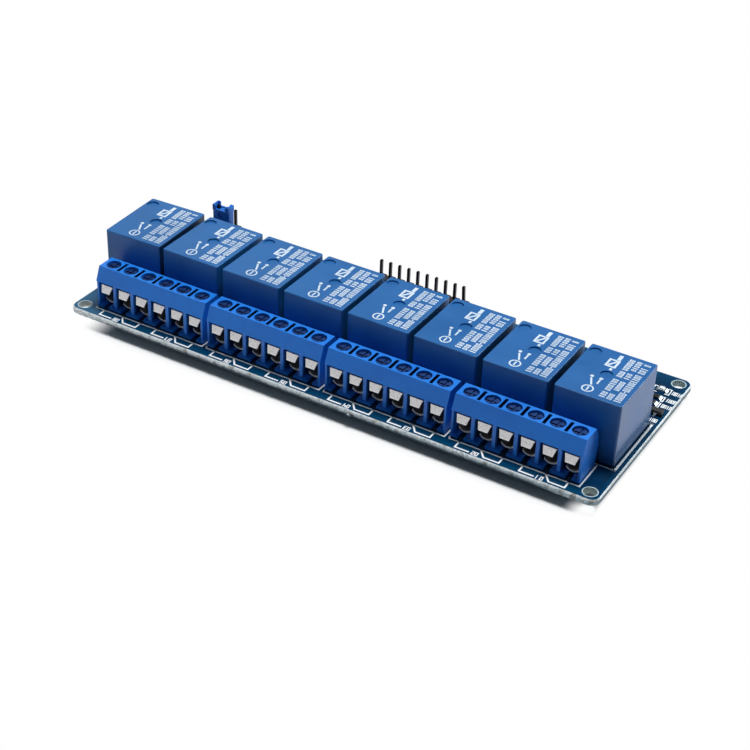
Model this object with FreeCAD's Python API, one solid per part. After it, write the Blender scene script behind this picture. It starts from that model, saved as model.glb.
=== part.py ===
import FreeCAD, Part
import math
import os
from FreeCAD import Vector

# An eight channel relay module on a long narrow circuit board.
# Screw terminals stand along the front edge, sealed relays behind them, and the
# small parts and two pin headers along the back edge.
# The origin is under the middle of the board, at the tips of the longest pins.
# X runs along the board, Y from the terminals to the headers, Z up.

# Circuit board
board_thickness = 1.6
board_corner_radius = 2.2
board_edge_bevel = 0.3
board_end_margin = 1.89
board_front_margin = 3.9
rear_zone_depth = 20.7
mounting_hole_diameter = 3.1
mounting_hole_inset = 2.67
pin_tip_depth = 2.2
clipped_pin_lift = 0.4
row_shift = -0.15
drill_clearance = 0.2

# Relay case
channel_count = 8
relay_width = 15.4
relay_depth = 19.1
relay_height = 15.4
relay_gap = 1.46
relay_to_terminal_gap = 0.8
relay_wall = 0.7
relay_roof = 0.8
relay_standoff = 0.35
relay_foot_radius = 0.6
relay_corner_radius = 0.5
relay_edge_radius = 0.2
relay_base_thickness = 1.65
dimple_radius = 1.45
dimple_depth = 0.35
vent_dimple_side_inset = 1.9
vent_dimple_back_inset = 2.6
first_relay_yaw = 2.0

# Relay works
common_pin_inset = 2.4
coil_pin_offset = 2.0
contact_pin_inset = 2.5
pin_row_inset = 1.7
relay_pin_width = 1.0
relay_pin_thickness = 0.6
yoke_width = 9.0
yoke_thickness = 1.2
core_radius = 2.0
core_to_yoke_gap = 3.5
yoke_back_offset = 0.9
yoke_foot_overhang = 0.7
pole_radius = 3.0
pole_thickness = 0.6
bobbin_flange_width = 10.0
coil_pin_gap = 0.2
bobbin_flange_thickness = 0.8
bobbin_tube_wall = 0.6
winding_radius = 4.6
coil_pin_inner_height = 2.4
armature_angle = 3.0
armature_thickness = 1.0
armature_overhang = 1.0
spring_thickness = 0.25
spring_width = 4.0
spring_tail_length = 3.7
spring_tail_gap = 0.35
spring_tip_overhang = 1.25
contact_radius = 1.0
contact_rivet_height = 1.05
contact_rivet_drop = 0.4
contact_button_height = 0.36
contact_strip_thickness = 0.3
contact_strip_width = 2.0
contact_strip_overhang = 1.2
contact_strip_headroom = 0.2

# Screw terminals
block_count = 4
ways_per_block = 6
terminal_pitch = 5.08
block_end_extra = 0.06
block_gap = 1.21
terminal_depth = 8.1
terminal_height = 10.17
column_width = 0.85
column_setback = 0.35
panel_setback = 0.1
opening_top = 6.72
top_front_setback = 1.55
top_back_setback = 1.86
shoulder_setback = 0.33
shoulder_height = 7.67
bulge_height = 5.0
waist_setback = 0.4
waist_height = 2.6
heel_setback = 0.6
foot_width = 3.6
foot_height = 0.7
foot_slope = 0.2
foot_gap_depth = 3.0
floor_top = 1.3
floor_setback = 2.0
screw_setback = 3.81
screw_hole_diameter = 3.55
slot_width = 0.8
slot_length = 3.85
slot_depth = 2.0
screw_head_height = 1.25
screw_head_recess = 0.6
screw_head_clearance = 0.12
screw_shank_radius = 1.2
screw_tip_height = 3.57
screw_slot_width = 0.45
screw_slot_depth = 0.3
clamp_width = 3.15
clamp_tip_width = 2.2
clamp_thickness = 0.4
clamp_drop = 0.94
clamp_front_setback = 0.8
clamp_tip_setback = 0.05
clamp_rear_gap = 0.27
clamp_lip_height = 1.7
clamp_back_height = 3.0
trough_width = 3.0
trough_radius = 1.8
trough_bottom = 1.15
trough_thickness = 0.4
terminal_pin_width = 1.0
terminal_pin_thickness = 0.8

# Pin headers and jumper
header_pitch = 2.54
header_inset = 2.6
header_body_height = 2.54
header_body_chamfer = 0.4
header_pin_size = 0.64
header_pin_point = 0.18
input_pin_count = 10
input_pin_height = 7.1
input_header_shift = -0.95
bent_pin_angle = 3.0
power_pin_count = 3
power_pin_height = 7.6
power_header_inset = 8.03
jumper_width = 4.9
jumper_depth = 2.5
jumper_bottom_gap = 0.1
jumper_body_height = 4.1
jumper_ear_height = 1.3
jumper_ear_thickness = 0.95
jumper_socket_width = 1.3
jumper_socket_depth = 1.5
jumper_window_radius = 0.8
jumper_window_depth = 0.3
jumper_window_drop = 1.3
jumper_contact_wall = 0.2
jumper_pin_clearance = 0.05
jumper_contact_height = 3.2

# Small parts behind each relay
optocoupler_width = 4.6
optocoupler_depth = 6.5
optocoupler_height = 3.5
optocoupler_lead_span = 9.6
optocoupler_header_gap = 1.1
optocoupler_shift = -2.5
optocoupler_lead_width = 0.9
lead_pitch = 2.54
lead_thickness = 0.25
body_bevel = 0.35
body_lift = 0.1
diode_length = 4.3
diode_width = 2.6
diode_height = 2.2
diode_lead_width = 1.5
diode_lead_reach = 0.45
diode_shift = -2.5
diode_row = 3.2
transistor_length = 3.0
transistor_width = 1.7
transistor_height = 1.1
transistor_lead_width = 0.6
transistor_lead_spacing = 1.9
transistor_lead_reach = 0.75
transistor_shift = 7.35
transistor_row = 4.45
chip_length = 2.0
chip_width = 1.25
chip_height = 0.55
chip_cap_length = 0.35
chip_fillet_length = 0.4
chip_fillet_height = 0.44
chip_shift = 4.8
front_chip_row = 7.7
middle_chip_row = 10.3
bias_chip_shift = 2.2
bias_chip_row = 3.2
led_row = 13.7
led_height = 0.8
led_lens_inset = 0.15

# Solder on the underside
solder_height = 1.0
solder_spread = 0.55
solder_collar = 0.15

# Clearances between pieces
case_clearance = 0.05
coil_clearance = 0.05
running_clearance = 0.03
thread_clearance = 0.02
tolerance = 0.001

# Sizes that follow from the ones above
relay_pitch = relay_width + relay_gap
relay_row_length = channel_count * relay_pitch - relay_gap
block_length = ways_per_block * terminal_pitch + 2 * block_end_extra
block_step = block_length + block_gap
terminal_row_length = block_count * block_step - block_gap
board_length = max(relay_row_length, terminal_row_length) + 2 * board_end_margin
board_width = (
    board_front_margin + terminal_depth + relay_to_terminal_gap + relay_depth + rear_zone_depth
)
board_bottom = pin_tip_depth
board_top = board_bottom + board_thickness
board_front = -board_width / 2
board_back = board_width / 2
terminal_front = board_front + board_front_margin
relay_row_y = terminal_front + terminal_depth + relay_to_terminal_gap + relay_depth / 2
relay_back = relay_row_y + relay_depth / 2
header_row_y = board_back - header_inset
pin_tip = -board_top
clipped_tip = pin_tip + clipped_pin_lift

cavity_half_width = relay_width / 2 - relay_wall
cavity_half_depth = relay_depth / 2 - relay_wall
cavity_top = relay_height - relay_roof
cavity_corner_radius = max(relay_corner_radius - relay_wall, relay_edge_radius)
relay_base_top = relay_standoff + relay_base_thickness
common_pin_y = relay_depth / 2 - common_pin_inset
coil_pin_y = common_pin_y - coil_pin_offset
contact_y = contact_pin_inset - relay_depth / 2
pin_row_half_width = relay_width / 2 - pin_row_inset
yoke_back = common_pin_y + yoke_back_offset
yoke_inner = yoke_back - yoke_thickness
core_y = yoke_inner - core_to_yoke_gap - core_radius
closed_contact_top = cavity_top - contact_strip_headroom - contact_strip_thickness - contact_button_height
rivet_base = armature_thickness - contact_rivet_drop
rivet_top = rivet_base + contact_rivet_height
open_angle = math.radians(armature_angle)
contact_lift = (yoke_back - contact_y + contact_radius) * math.sin(open_angle)
hinge_height = closed_contact_top - running_clearance - contact_lift - rivet_top * math.cos(open_angle)
flange_top = hinge_height - running_clearance - pole_thickness

clamp_back = screw_setback + screw_shank_radius + thread_clearance + clamp_thickness
opening_depth = clamp_back + clamp_rear_gap
screw_seat = terminal_height - screw_head_recess - screw_head_height


def box(low, high):
    size = high - low
    return Part.makeBox(size.x, size.y, size.z, low)


def centred_box(x, y, width, depth, bottom, top):
    low = Vector(x - width / 2, y - depth / 2, bottom)
    return Part.makeBox(width, depth, top - bottom, low)


def cylinder(x, y, radius, bottom, top):
    return Part.makeCylinder(radius, top - bottom, Vector(x, y, bottom))


def is_upright(edge):
    bounds = edge.BoundBox
    return bounds.XLength < tolerance and bounds.YLength < tolerance


def rounded_block(width, depth, bottom, top, radius):
    block = centred_box(0, 0, width, depth, bottom, top)
    corners = [edge for edge in block.Edges if is_upright(edge)]
    return block.makeFillet(radius, corners)


def prism_along_x(points, x0, x1):
    corners = [Vector(x0, y, z) for y, z in points]
    outline = Part.makePolygon(corners + corners[:1])
    return Part.Face(outline).extrude(Vector(x1 - x0, 0, 0))


def moved(shape, x, y, z):
    copy = shape.copy()
    copy.translate(Vector(x, y, z))
    return copy


def turned(shape, degrees):
    copy = shape.copy()
    copy.rotate(Vector(0, 0, 0), Vector(0, 0, 1), degrees)
    return copy


def save(name, solids):
    shape = solids[0] if len(solids) == 1 else Part.makeCompound(solids)
    shape.exportStep(f"parts/{name}.step")


def relay_x(index):
    return row_shift + (index - (channel_count - 1) / 2) * relay_pitch


def relay_yaw(index):
    return first_relay_yaw if index == 0 else 0.0


def at_relay(shape, index):
    return moved(turned(shape, relay_yaw(index)), relay_x(index), relay_row_y, board_top)


def at_every_relay(shapes):
    return [at_relay(shape, index) for index in range(channel_count) for shape in shapes]


def block_x(index):
    return row_shift + (index - (block_count - 1) / 2) * block_step


def way_x(way):
    return (way - (ways_per_block - 1) / 2) * terminal_pitch


def at_block(shape, index):
    return moved(shape, block_x(index), terminal_front, board_top)


def at_every_way(shape):
    return [moved(shape, way_x(way), 0, 0) for way in range(ways_per_block)]


# Relay case: an open cover with two shallow dimples on its roof, over a base on four feet.
def relay_cover():
    outer = rounded_block(relay_width, relay_depth, relay_standoff, relay_height, relay_corner_radius)
    rim = [edge for edge in outer.Edges if edge.BoundBox.ZMin > relay_height - tolerance]
    outer = outer.makeFillet(relay_edge_radius, rim)
    hollow = rounded_block(
        2 * cavity_half_width, 2 * cavity_half_depth, relay_standoff, cavity_top, cavity_corner_radius
    )
    dimple_floor = relay_height - dimple_depth
    vent_x = -relay_width / 2 + vent_dimple_side_inset
    vent_y = relay_depth / 2 - vent_dimple_back_inset
    vent_dimple = cylinder(vent_x, vent_y, dimple_radius, dimple_floor, relay_height)
    gate_dimple = cylinder(0, 0, dimple_radius, dimple_floor, relay_height)
    return outer.cut([hollow, vent_dimple, gate_dimple])


def common_pin():
    return centred_box(
        0, common_pin_y, relay_pin_width, relay_pin_thickness, clipped_tip, relay_base_top
    )


def coil_pins():
    top = relay_base_top + coil_pin_inner_height
    return [
        centred_box(x, coil_pin_y, relay_pin_thickness, relay_pin_thickness, clipped_tip, top)
        for x in (-pin_row_half_width, pin_row_half_width)
    ]


def contact_post(x, top):
    return centred_box(x, contact_y, relay_pin_thickness, relay_pin_width, clipped_tip, top)


def relay_base():
    width = 2 * (cavity_half_width - case_clearance)
    depth = 2 * (cavity_half_depth - case_clearance)
    plate = rounded_block(width, depth, relay_standoff, relay_base_top, cavity_corner_radius)
    foot_x = pin_row_half_width / 2
    foot_y = depth / 2 - relay_foot_radius
    feet = [
        cylinder(x, y, relay_foot_radius, 0, relay_standoff)
        for x in (-foot_x, foot_x)
        for y in (-foot_y, foot_y)
    ]
    pins = coil_pins() + [common_pin()]
    pins += [contact_post(x, relay_base_top) for x in (-pin_row_half_width, pin_row_half_width)]
    return plate.fuse(feet).removeSplitter().cut(pins)


# Relay magnet: an L shaped yoke, a core with a pole face, and a wound bobbin.
def relay_yoke():
    foot_front = core_y - core_radius - yoke_foot_overhang
    upright = box(
        Vector(-yoke_width / 2, yoke_inner, relay_base_top),
        Vector(yoke_width / 2, yoke_back, hinge_height - running_clearance),
    )
    foot = box(
        Vector(-yoke_width / 2, foot_front, relay_base_top),
        Vector(yoke_width / 2, yoke_back, relay_base_top + yoke_thickness),
    )
    return upright.fuse(foot).removeSplitter()


def relay_core():
    shank = cylinder(0, core_y, core_radius, relay_base_top + yoke_thickness, flange_top)
    pole = cylinder(0, core_y, pole_radius, flange_top, flange_top + pole_thickness)
    return shank.fuse(pole)


def relay_bobbin():
    bottom = relay_base_top + yoke_thickness
    tube_radius = core_radius + coil_clearance + bobbin_tube_wall
    low_flange = centred_box(
        0, core_y, bobbin_flange_width, bobbin_flange_width, bottom, bottom + bobbin_flange_thickness
    )
    high_flange = centred_box(
        0, core_y, bobbin_flange_width, bobbin_flange_width, flange_top - bobbin_flange_thickness,
        flange_top,
    )
    tube = cylinder(0, core_y, tube_radius, bottom, flange_top)
    bore = cylinder(0, core_y, core_radius + coil_clearance, bottom, flange_top)
    passage = relay_pin_thickness + 2 * coil_pin_gap
    passages = [
        centred_box(x, coil_pin_y, passage, passage, bottom, flange_top)
        for x in (-pin_row_half_width, pin_row_half_width)
    ]
    return low_flange.fuse([high_flange, tube]).cut([bore] + passages)


def relay_winding():
    bottom = relay_base_top + yoke_thickness + bobbin_flange_thickness
    top = flange_top - bobbin_flange_thickness
    inner = core_radius + bobbin_tube_wall + 2 * coil_clearance
    return cylinder(0, core_y, winding_radius, bottom, top).cut(
        cylinder(0, core_y, inner, bottom, top)
    )


# Relay contacts: the lower one closes when the magnet pulls, the upper one opens.
def lower_contact():
    top = hinge_height + rivet_base - running_clearance
    strip_top = top - contact_button_height
    strip_bottom = strip_top - contact_strip_thickness
    post = contact_post(-pin_row_half_width, strip_top)
    strip = box(
        Vector(-pin_row_half_width - relay_pin_thickness / 2, contact_y - contact_strip_width / 2,
               strip_bottom),
        Vector(contact_strip_overhang, contact_y + contact_strip_width / 2, strip_top),
    )
    button = cylinder(0, contact_y, contact_radius, strip_top, top)
    return post.fuse([strip, button]).removeSplitter()


def upper_contact():
    strip_bottom = closed_contact_top + contact_button_height
    strip_top = strip_bottom + contact_strip_thickness
    post = contact_post(pin_row_half_width, strip_top)
    strip = box(
        Vector(-contact_strip_overhang, contact_y - contact_strip_width / 2, strip_bottom),
        Vector(pin_row_half_width + relay_pin_thickness / 2, contact_y + contact_strip_width / 2,
               strip_top),
    )
    button = cylinder(0, contact_y, contact_radius, closed_contact_top, strip_bottom)
    return post.fuse([strip, button]).removeSplitter()


# Relay armature: drawn flat on the pole, then turned up about the yoke's back edge.
def relay_armature():
    front = core_y - pole_radius - armature_overhang
    top = hinge_height + armature_thickness
    plate = box(
        Vector(-yoke_width / 2, front, hinge_height),
        Vector(yoke_width / 2, yoke_back, top),
    )
    tip = contact_y - spring_tip_overhang
    tail_inner = yoke_back + spring_tail_gap
    tail_outer = tail_inner + spring_thickness
    spring_top = top + spring_thickness
    spring = prism_along_x(
        [
            (tip, top),
            (tail_inner, top),
            (tail_inner, hinge_height - spring_tail_length),
            (tail_outer, hinge_height - spring_tail_length),
            (tail_outer, spring_top),
            (tip, spring_top),
        ],
        -spring_width / 2,
        spring_width / 2,
    )
    rivet = cylinder(0, contact_y, contact_radius, hinge_height + rivet_base, hinge_height + rivet_top)
    pieces = [plate, spring.cut(rivet), rivet]
    for piece in pieces:
        piece.rotate(Vector(0, yoke_back, hinge_height), Vector(1, 0, 0), -armature_angle)
    return pieces


# Screw terminal block: one long moulding with a screw hole and a wire mouth for every way.
def side_profile(front):
    return [
        (front, 0),
        (front, opening_top),
        (panel_setback, opening_top),
        (top_front_setback, terminal_height),
        (terminal_depth - top_back_setback, terminal_height),
        (terminal_depth - shoulder_setback, shoulder_height),
        (terminal_depth, bulge_height),
        (terminal_depth - waist_setback, waist_height),
        (terminal_depth - heel_setback, 0),
    ]


def terminal_foot(x):
    half = foot_width / 2
    low = foot_height - foot_slope
    outline = [
        Vector(x - half, 0, 0),
        Vector(x - half, 0, low),
        Vector(x - column_width / 2, 0, foot_height),
        Vector(x + column_width / 2, 0, foot_height),
        Vector(x + half, 0, low),
        Vector(x + half, 0, 0),
    ]
    return Part.Face(Part.makePolygon(outline + outline[:1])).extrude(Vector(0, foot_gap_depth, 0))


def way_cuts(x):
    half_mouth = (terminal_pitch - column_width) / 2
    half_gap = (terminal_pitch - foot_width) / 2
    shank_hole = screw_shank_radius + 2 * screw_head_clearance
    return [
        box(Vector(x - half_mouth, 0, foot_height), Vector(x + half_mouth, floor_setback, opening_top)),
        box(Vector(x - half_mouth, 0, floor_top), Vector(x + half_mouth, opening_depth, opening_top)),
        box(Vector(x - half_gap, 0, 0), Vector(x + half_gap, foot_gap_depth, foot_height)),
        cylinder(x, screw_setback, screw_hole_diameter / 2, screw_seat, terminal_height),
        cylinder(x, screw_setback, shank_hole, opening_top, screw_seat),
        moved(trough_block(), x, 0, 0),
        moved(terminal_post(), x, 0, 0),
    ]


def terminal_housing():
    half = block_length / 2
    end_wall = block_end_extra + column_width / 2
    body = prism_along_x(side_profile(column_setback), -half, half)
    wall = prism_along_x(side_profile(panel_setback), half - end_wall, half)
    boundaries = [way_x(way) + terminal_pitch / 2 for way in range(-1, ways_per_block)]
    feet = [terminal_foot(x) for x in boundaries]
    trim = box(Vector(-half, 0, 0), Vector(half, terminal_depth, terminal_height))
    body = body.fuse([wall] + [foot.common(trim) for foot in feet])
    cuts = []
    for way in range(ways_per_block):
        cuts += way_cuts(way_x(way))
    for x in boundaries[1:-1]:
        slot_front = screw_setback - slot_length / 2
        cuts.append(
            box(
                Vector(x - slot_width / 2, slot_front, terminal_height - slot_depth),
                Vector(x + slot_width / 2, slot_front + slot_length, terminal_height),
            )
        )
    return body.cut(cuts).removeSplitter()


def terminal_screw():
    head_radius = screw_hole_diameter / 2 - screw_head_clearance
    top = screw_seat + screw_head_height
    head = cylinder(0, screw_setback, head_radius, screw_seat, top)
    shank = cylinder(0, screw_setback, screw_shank_radius, screw_tip_height, screw_seat)
    slot_floor = top - screw_slot_depth
    slots = [
        centred_box(0, screw_setback, 2 * head_radius, screw_slot_width, slot_floor, top),
        centred_box(0, screw_setback, screw_slot_width, 2 * head_radius, slot_floor, top),
    ]
    return head.fuse(shank).cut(slots)


def wire_clamp():
    top = opening_top - clamp_drop
    under = top - clamp_thickness
    roof = box(
        Vector(-clamp_width / 2, clamp_front_setback, under),
        Vector(clamp_width / 2, clamp_back, top),
    )
    rear = box(
        Vector(-clamp_width / 2, clamp_back - clamp_thickness, top - clamp_back_height),
        Vector(clamp_width / 2, clamp_back, top),
    )
    tip = top - clamp_lip_height
    lip_outline = [
        Vector(-clamp_width / 2, clamp_front_setback, top),
        Vector(clamp_width / 2, clamp_front_setback, top),
        Vector(clamp_tip_width / 2, clamp_tip_setback, tip),
        Vector(-clamp_tip_width / 2, clamp_tip_setback, tip),
    ]
    inward = Vector(0, clamp_lip_height, clamp_tip_setback - clamp_front_setback)
    inward.normalize()
    lip = Part.Face(Part.makePolygon(lip_outline + lip_outline[:1])).extrude(inward * clamp_thickness)
    hole = cylinder(0, screw_setback, screw_shank_radius + thread_clearance, under, top)
    return roof.fuse([rear, lip]).removeSplitter().cut(hole)


def trough_cylinder(radius):
    axis = Vector(0, floor_setback, trough_bottom + trough_radius)
    return Part.makeCylinder(radius, opening_depth - floor_setback, axis, Vector(0, 1, 0))


def trough_block():
    rim = trough_bottom + trough_radius - math.sqrt(trough_radius**2 - trough_width**2 / 4)
    keep = box(
        Vector(-trough_width / 2, floor_setback, trough_bottom - trough_thickness),
        Vector(trough_width / 2, opening_depth, rim),
    )
    return trough_cylinder(trough_radius + trough_thickness).common(keep)


def terminal_post():
    return centred_box(
        0, screw_setback, terminal_pin_width, terminal_pin_thickness, pin_tip,
        trough_bottom - trough_thickness / 2,
    )


def terminal_pin():
    trough = trough_block().cut(trough_cylinder(trough_radius))
    return trough.fuse(terminal_post()).removeSplitter()


# Pin headers: square pointed pins through a strip of chamfered cells.
def header_pin(height):
    pin = centred_box(0, 0, header_pin_size, header_pin_size, pin_tip, height)
    ends = [edge for edge in pin.Edges if not is_upright(edge)]
    return pin.makeChamfer(min(header_pin_point, header_pin_size / 3), ends)


def bent_header_pin(height):
    straight = header_pin(height)
    cutter = centred_box(0, 0, header_pitch, header_pitch, header_body_height, height)
    upper = straight.common(cutter)
    lower = straight.cut(cutter)
    upper.rotate(Vector(0, 0, header_body_height), Vector(0, 1, 0), -bent_pin_angle)
    return lower.fuse(upper)


def header_offsets(count):
    return [(pin - (count - 1) / 2) * header_pitch for pin in range(count)]


def header_strip(count):
    cell = centred_box(0, 0, header_pitch, header_pitch, 0, header_body_height)
    corners = [edge for edge in cell.Edges if is_upright(edge)]
    cell = cell.makeChamfer(header_body_chamfer, corners)
    cells = [moved(cell, x, 0, 0) for x in header_offsets(count)]
    pins = [
        centred_box(x, 0, header_pin_size, header_pin_size, 0, header_body_height)
        for x in header_offsets(count)
    ]
    return cells[0].fuse(cells[1:]).removeSplitter().cut(pins)


# Jumper cap: a small cap with two ears, over a folded contact that joins two pins.
def jumper_bottom():
    return header_body_height + jumper_bottom_gap


def jumper_cap():
    bottom = jumper_bottom()
    top = bottom + jumper_body_height
    body = centred_box(0, 0, jumper_width, jumper_depth, bottom, top)
    corners = [edge for edge in body.Edges if is_upright(edge)]
    body = body.makeFillet(body_bevel, corners)
    ear_top = top + jumper_ear_height
    ear_x = jumper_width / 2 - jumper_ear_thickness / 2
    ears = []
    for x in (-ear_x, ear_x):
        ear = centred_box(x, 0, jumper_ear_thickness, jumper_depth, top - body_bevel, ear_top)
        rim = [edge for edge in ear.Edges if edge.BoundBox.ZMin > ear_top - tolerance]
        ears.append(ear.makeFillet(body_bevel, rim))
    sockets = [
        centred_box(x, 0, jumper_socket_width, jumper_socket_depth, bottom, ear_top)
        for x in (-header_pitch / 2, header_pitch / 2)
    ]
    window_centre = Vector(0, -jumper_depth / 2, top - jumper_window_drop)
    window = Part.makeCylinder(
        jumper_window_radius, jumper_window_depth, window_centre, Vector(0, 1, 0)
    )
    bridge_slot = centred_box(
        0, jumper_socket_depth / 2 - jumper_contact_wall, header_pitch, 2 * jumper_contact_wall,
        top - jumper_contact_height, top,
    )
    return body.fuse(ears).removeSplitter().cut(sockets + [window, bridge_slot])


def jumper_contact():
    top = jumper_bottom() + jumper_body_height - body_bevel
    bottom = top - jumper_contact_height + body_bevel
    bore = header_pin_size + 2 * jumper_pin_clearance
    sleeve_size = bore + 2 * jumper_contact_wall
    offsets = (-header_pitch / 2, header_pitch / 2)
    sleeves = [centred_box(x, 0, sleeve_size, sleeve_size, bottom, top) for x in offsets]
    bores = [centred_box(x, 0, bore, bore, bottom, top) for x in offsets]
    bridge = box(
        Vector(-header_pitch / 2, bore / 2, bottom),
        Vector(header_pitch / 2, sleeve_size / 2, top),
    )
    return sleeves[0].fuse([sleeves[1], bridge]).removeSplitter().cut(bores)


# Small moulded parts: a bevelled body with bent leads at its two long sides.
def moulded_body(width, depth, bottom, top):
    middle = (bottom + top) / 2
    wide = Part.makePolygon(rectangle(width, depth, middle))
    low = Part.makePolygon(rectangle(width - body_bevel, depth - body_bevel, bottom))
    high = Part.makePolygon(rectangle(width - body_bevel, depth - body_bevel, top))
    lower = Part.makeLoft([low, wide], True, True)
    upper = Part.makeLoft([wide, high], True, True)
    return lower.fuse(upper)


def rectangle(width, depth, z):
    corners = [(-1, -1), (1, -1), (1, 1), (-1, 1), (-1, -1)]
    return [Vector(x * width / 2, y * depth / 2, z) for x, y in corners]


def bent_lead(start, knee, end, height, width):
    outline = [
        (start, height),
        (knee, height),
        (knee, lead_thickness),
        (end, lead_thickness),
        (end, 0),
        (knee - lead_thickness, 0),
        (knee - lead_thickness, height - lead_thickness),
        (start, height - lead_thickness),
    ]
    return prism_along_x(outline, -width / 2, width / 2)


def optocoupler_leads():
    middle = body_lift + optocoupler_height / 2 + lead_thickness / 2
    knee = (optocoupler_depth + optocoupler_lead_span) / 4
    lead = bent_lead(
        optocoupler_depth / 2, knee, optocoupler_lead_span / 2, middle, optocoupler_lead_width
    )
    pair = [moved(lead, x, 0, 0) for x in (-lead_pitch / 2, lead_pitch / 2)]
    return pair + [turned(shape, 180) for shape in pair]


def transistor_leads():
    middle = body_lift + transistor_height / 2
    side = transistor_width / 2
    lead = bent_lead(
        side, side + lead_thickness, side + transistor_lead_reach, middle, transistor_lead_width
    )
    half_spacing = transistor_lead_spacing / 2
    return [turned(lead, 180)] + [moved(lead, x, 0, 0) for x in (-half_spacing, half_spacing)]


def diode_leads():
    middle = body_lift + diode_height / 2
    end = diode_length / 2
    lead = bent_lead(end, end + lead_thickness, end + diode_lead_reach, middle, diode_lead_width)
    return [turned(lead, angle) for angle in (90, -90)]


def chip_caps(height):
    half = chip_length / 2
    cap = box(
        Vector(half - chip_cap_length, -chip_width / 2, 0),
        Vector(half, chip_width / 2, height),
    )
    fillet_points = [
        Vector(half, -chip_width / 2, 0),
        Vector(half + chip_fillet_length, -chip_width / 2, 0),
        Vector(half, -chip_width / 2, chip_fillet_height),
    ]
    outline = Part.makePolygon(fillet_points + fillet_points[:1])
    fillet = Part.Face(outline).extrude(Vector(0, chip_width, 0))
    cap = cap.fuse(fillet)
    return [cap, turned(cap, 180)]


def chip_body(height):
    length = chip_length - 2 * chip_cap_length
    return centred_box(0, 0, length, chip_width, 0, height)


def led_body():
    base = chip_body(chip_height)
    width = chip_length - 2 * chip_cap_length - 2 * led_lens_inset
    lens = centred_box(0, 0, width, chip_width - 2 * led_lens_inset, chip_height, led_height)
    return base.fuse(lens)


def at_channel(shape, index, shift, row):
    return moved(shape, relay_x(index) + shift, relay_back + row, board_top)


def at_every_channel(shapes, shift, row):
    return [
        at_channel(shape, index, shift, row) for index in range(channel_count) for shape in shapes
    ]


def optocoupler_row():
    front_of_header = header_row_y - header_pitch / 2
    return front_of_header - optocoupler_header_gap - optocoupler_lead_span / 2 - relay_back


resistor_places = [
    (chip_shift, front_chip_row),
    (chip_shift, middle_chip_row),
    (bias_chip_shift, bias_chip_row),
]
chip_places = resistor_places + [(chip_shift, led_row)]


# Every pin that passes through the board: its place and its two section sizes.
def through_pins():
    pins = []
    for index in range(channel_count):
        local = [(0, common_pin_y, relay_pin_width, relay_pin_thickness)]
        for x in (-pin_row_half_width, pin_row_half_width):
            local.append((x, coil_pin_y, relay_pin_thickness, relay_pin_thickness))
            local.append((x, contact_y, relay_pin_thickness, relay_pin_width))
        for x, y, width, depth in local:
            section = at_relay(centred_box(x, y, width, depth, clipped_tip, 0), index)
            pins.append((section, math.hypot(width, depth) / 2))
    reach = math.hypot(terminal_pin_width, terminal_pin_thickness) / 2
    for index in range(block_count):
        for way in range(ways_per_block):
            section = centred_box(
                way_x(way), screw_setback, terminal_pin_width, terminal_pin_thickness, pin_tip, 0
            )
            pins.append((at_block(section, index), reach))
    reach = math.hypot(header_pin_size, header_pin_size) / 2
    for x in input_pin_places() + power_pin_places():
        section = centred_box(x, header_row_y, header_pin_size, header_pin_size, 0, board_top)
        pins.append((section, reach))
    return pins


def input_pin_places():
    return [input_header_shift + x for x in header_offsets(input_pin_count)]


def power_pin_places():
    first = -board_length / 2 + power_header_inset
    return [first + pin * header_pitch for pin in range(power_pin_count)]


def circuit_board(pins):
    slab = rounded_block(board_length, board_width, board_bottom, board_top, board_corner_radius)
    outline = [edge for edge in slab.Edges if not is_upright(edge)]
    slab = slab.makeChamfer(board_edge_bevel, outline)
    hole_x = board_length / 2 - mounting_hole_inset
    hole_y = board_width / 2 - mounting_hole_inset
    holes = [
        cylinder(x, y, mounting_hole_diameter / 2, board_bottom, board_top)
        for x in (-hole_x, hole_x)
        for y in (-hole_y, hole_y)
    ]
    for section, reach in pins:
        centre = section.BoundBox.Center
        holes.append(cylinder(centre.x, centre.y, reach + drill_clearance, board_bottom, board_top))
    return slab.cut(holes)


def solder_joints(pins):
    joints = []
    for section, reach in pins:
        centre = section.BoundBox.Center
        cone = Part.makeCone(
            reach + solder_collar, reach + solder_spread, solder_height,
            Vector(centre.x, centre.y, board_bottom - solder_height),
        )
        joints.append(cone.cut(section))
    return joints


def build_relays():
    cover = relay_cover()
    base = relay_base()
    armature = relay_armature()
    for index in range(channel_count):
        number = index + 1
        save(f"relay_cover_{number}", [at_relay(cover, index)])
        save(f"relay_base_{number}", [at_relay(base, index)])
        save(f"relay_armature_{number}", [at_relay(piece, index) for piece in armature])
    save("relay_magnets", at_every_relay([relay_yoke(), relay_core()]))
    save("relay_bobbins", at_every_relay([relay_bobbin()]))
    save("relay_windings", at_every_relay([relay_winding()]))
    save("relay_contacts", at_every_relay([lower_contact(), upper_contact()]))
    save("relay_pins", at_every_relay([common_pin()] + coil_pins()))


def build_terminals():
    housing = terminal_housing()
    screws = at_every_way(terminal_screw())
    clamps = at_every_way(wire_clamp())
    pins = at_every_way(terminal_pin())
    for index in range(block_count):
        number = index + 1
        save(f"terminal_housing_{number}", [at_block(housing, index)])
        save(f"terminal_screws_{number}", [at_block(shape, index) for shape in screws])
        save(f"wire_clamps_{number}", [at_block(shape, index) for shape in clamps])
        save(f"terminal_pins_{number}", [at_block(shape, index) for shape in pins])


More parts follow.
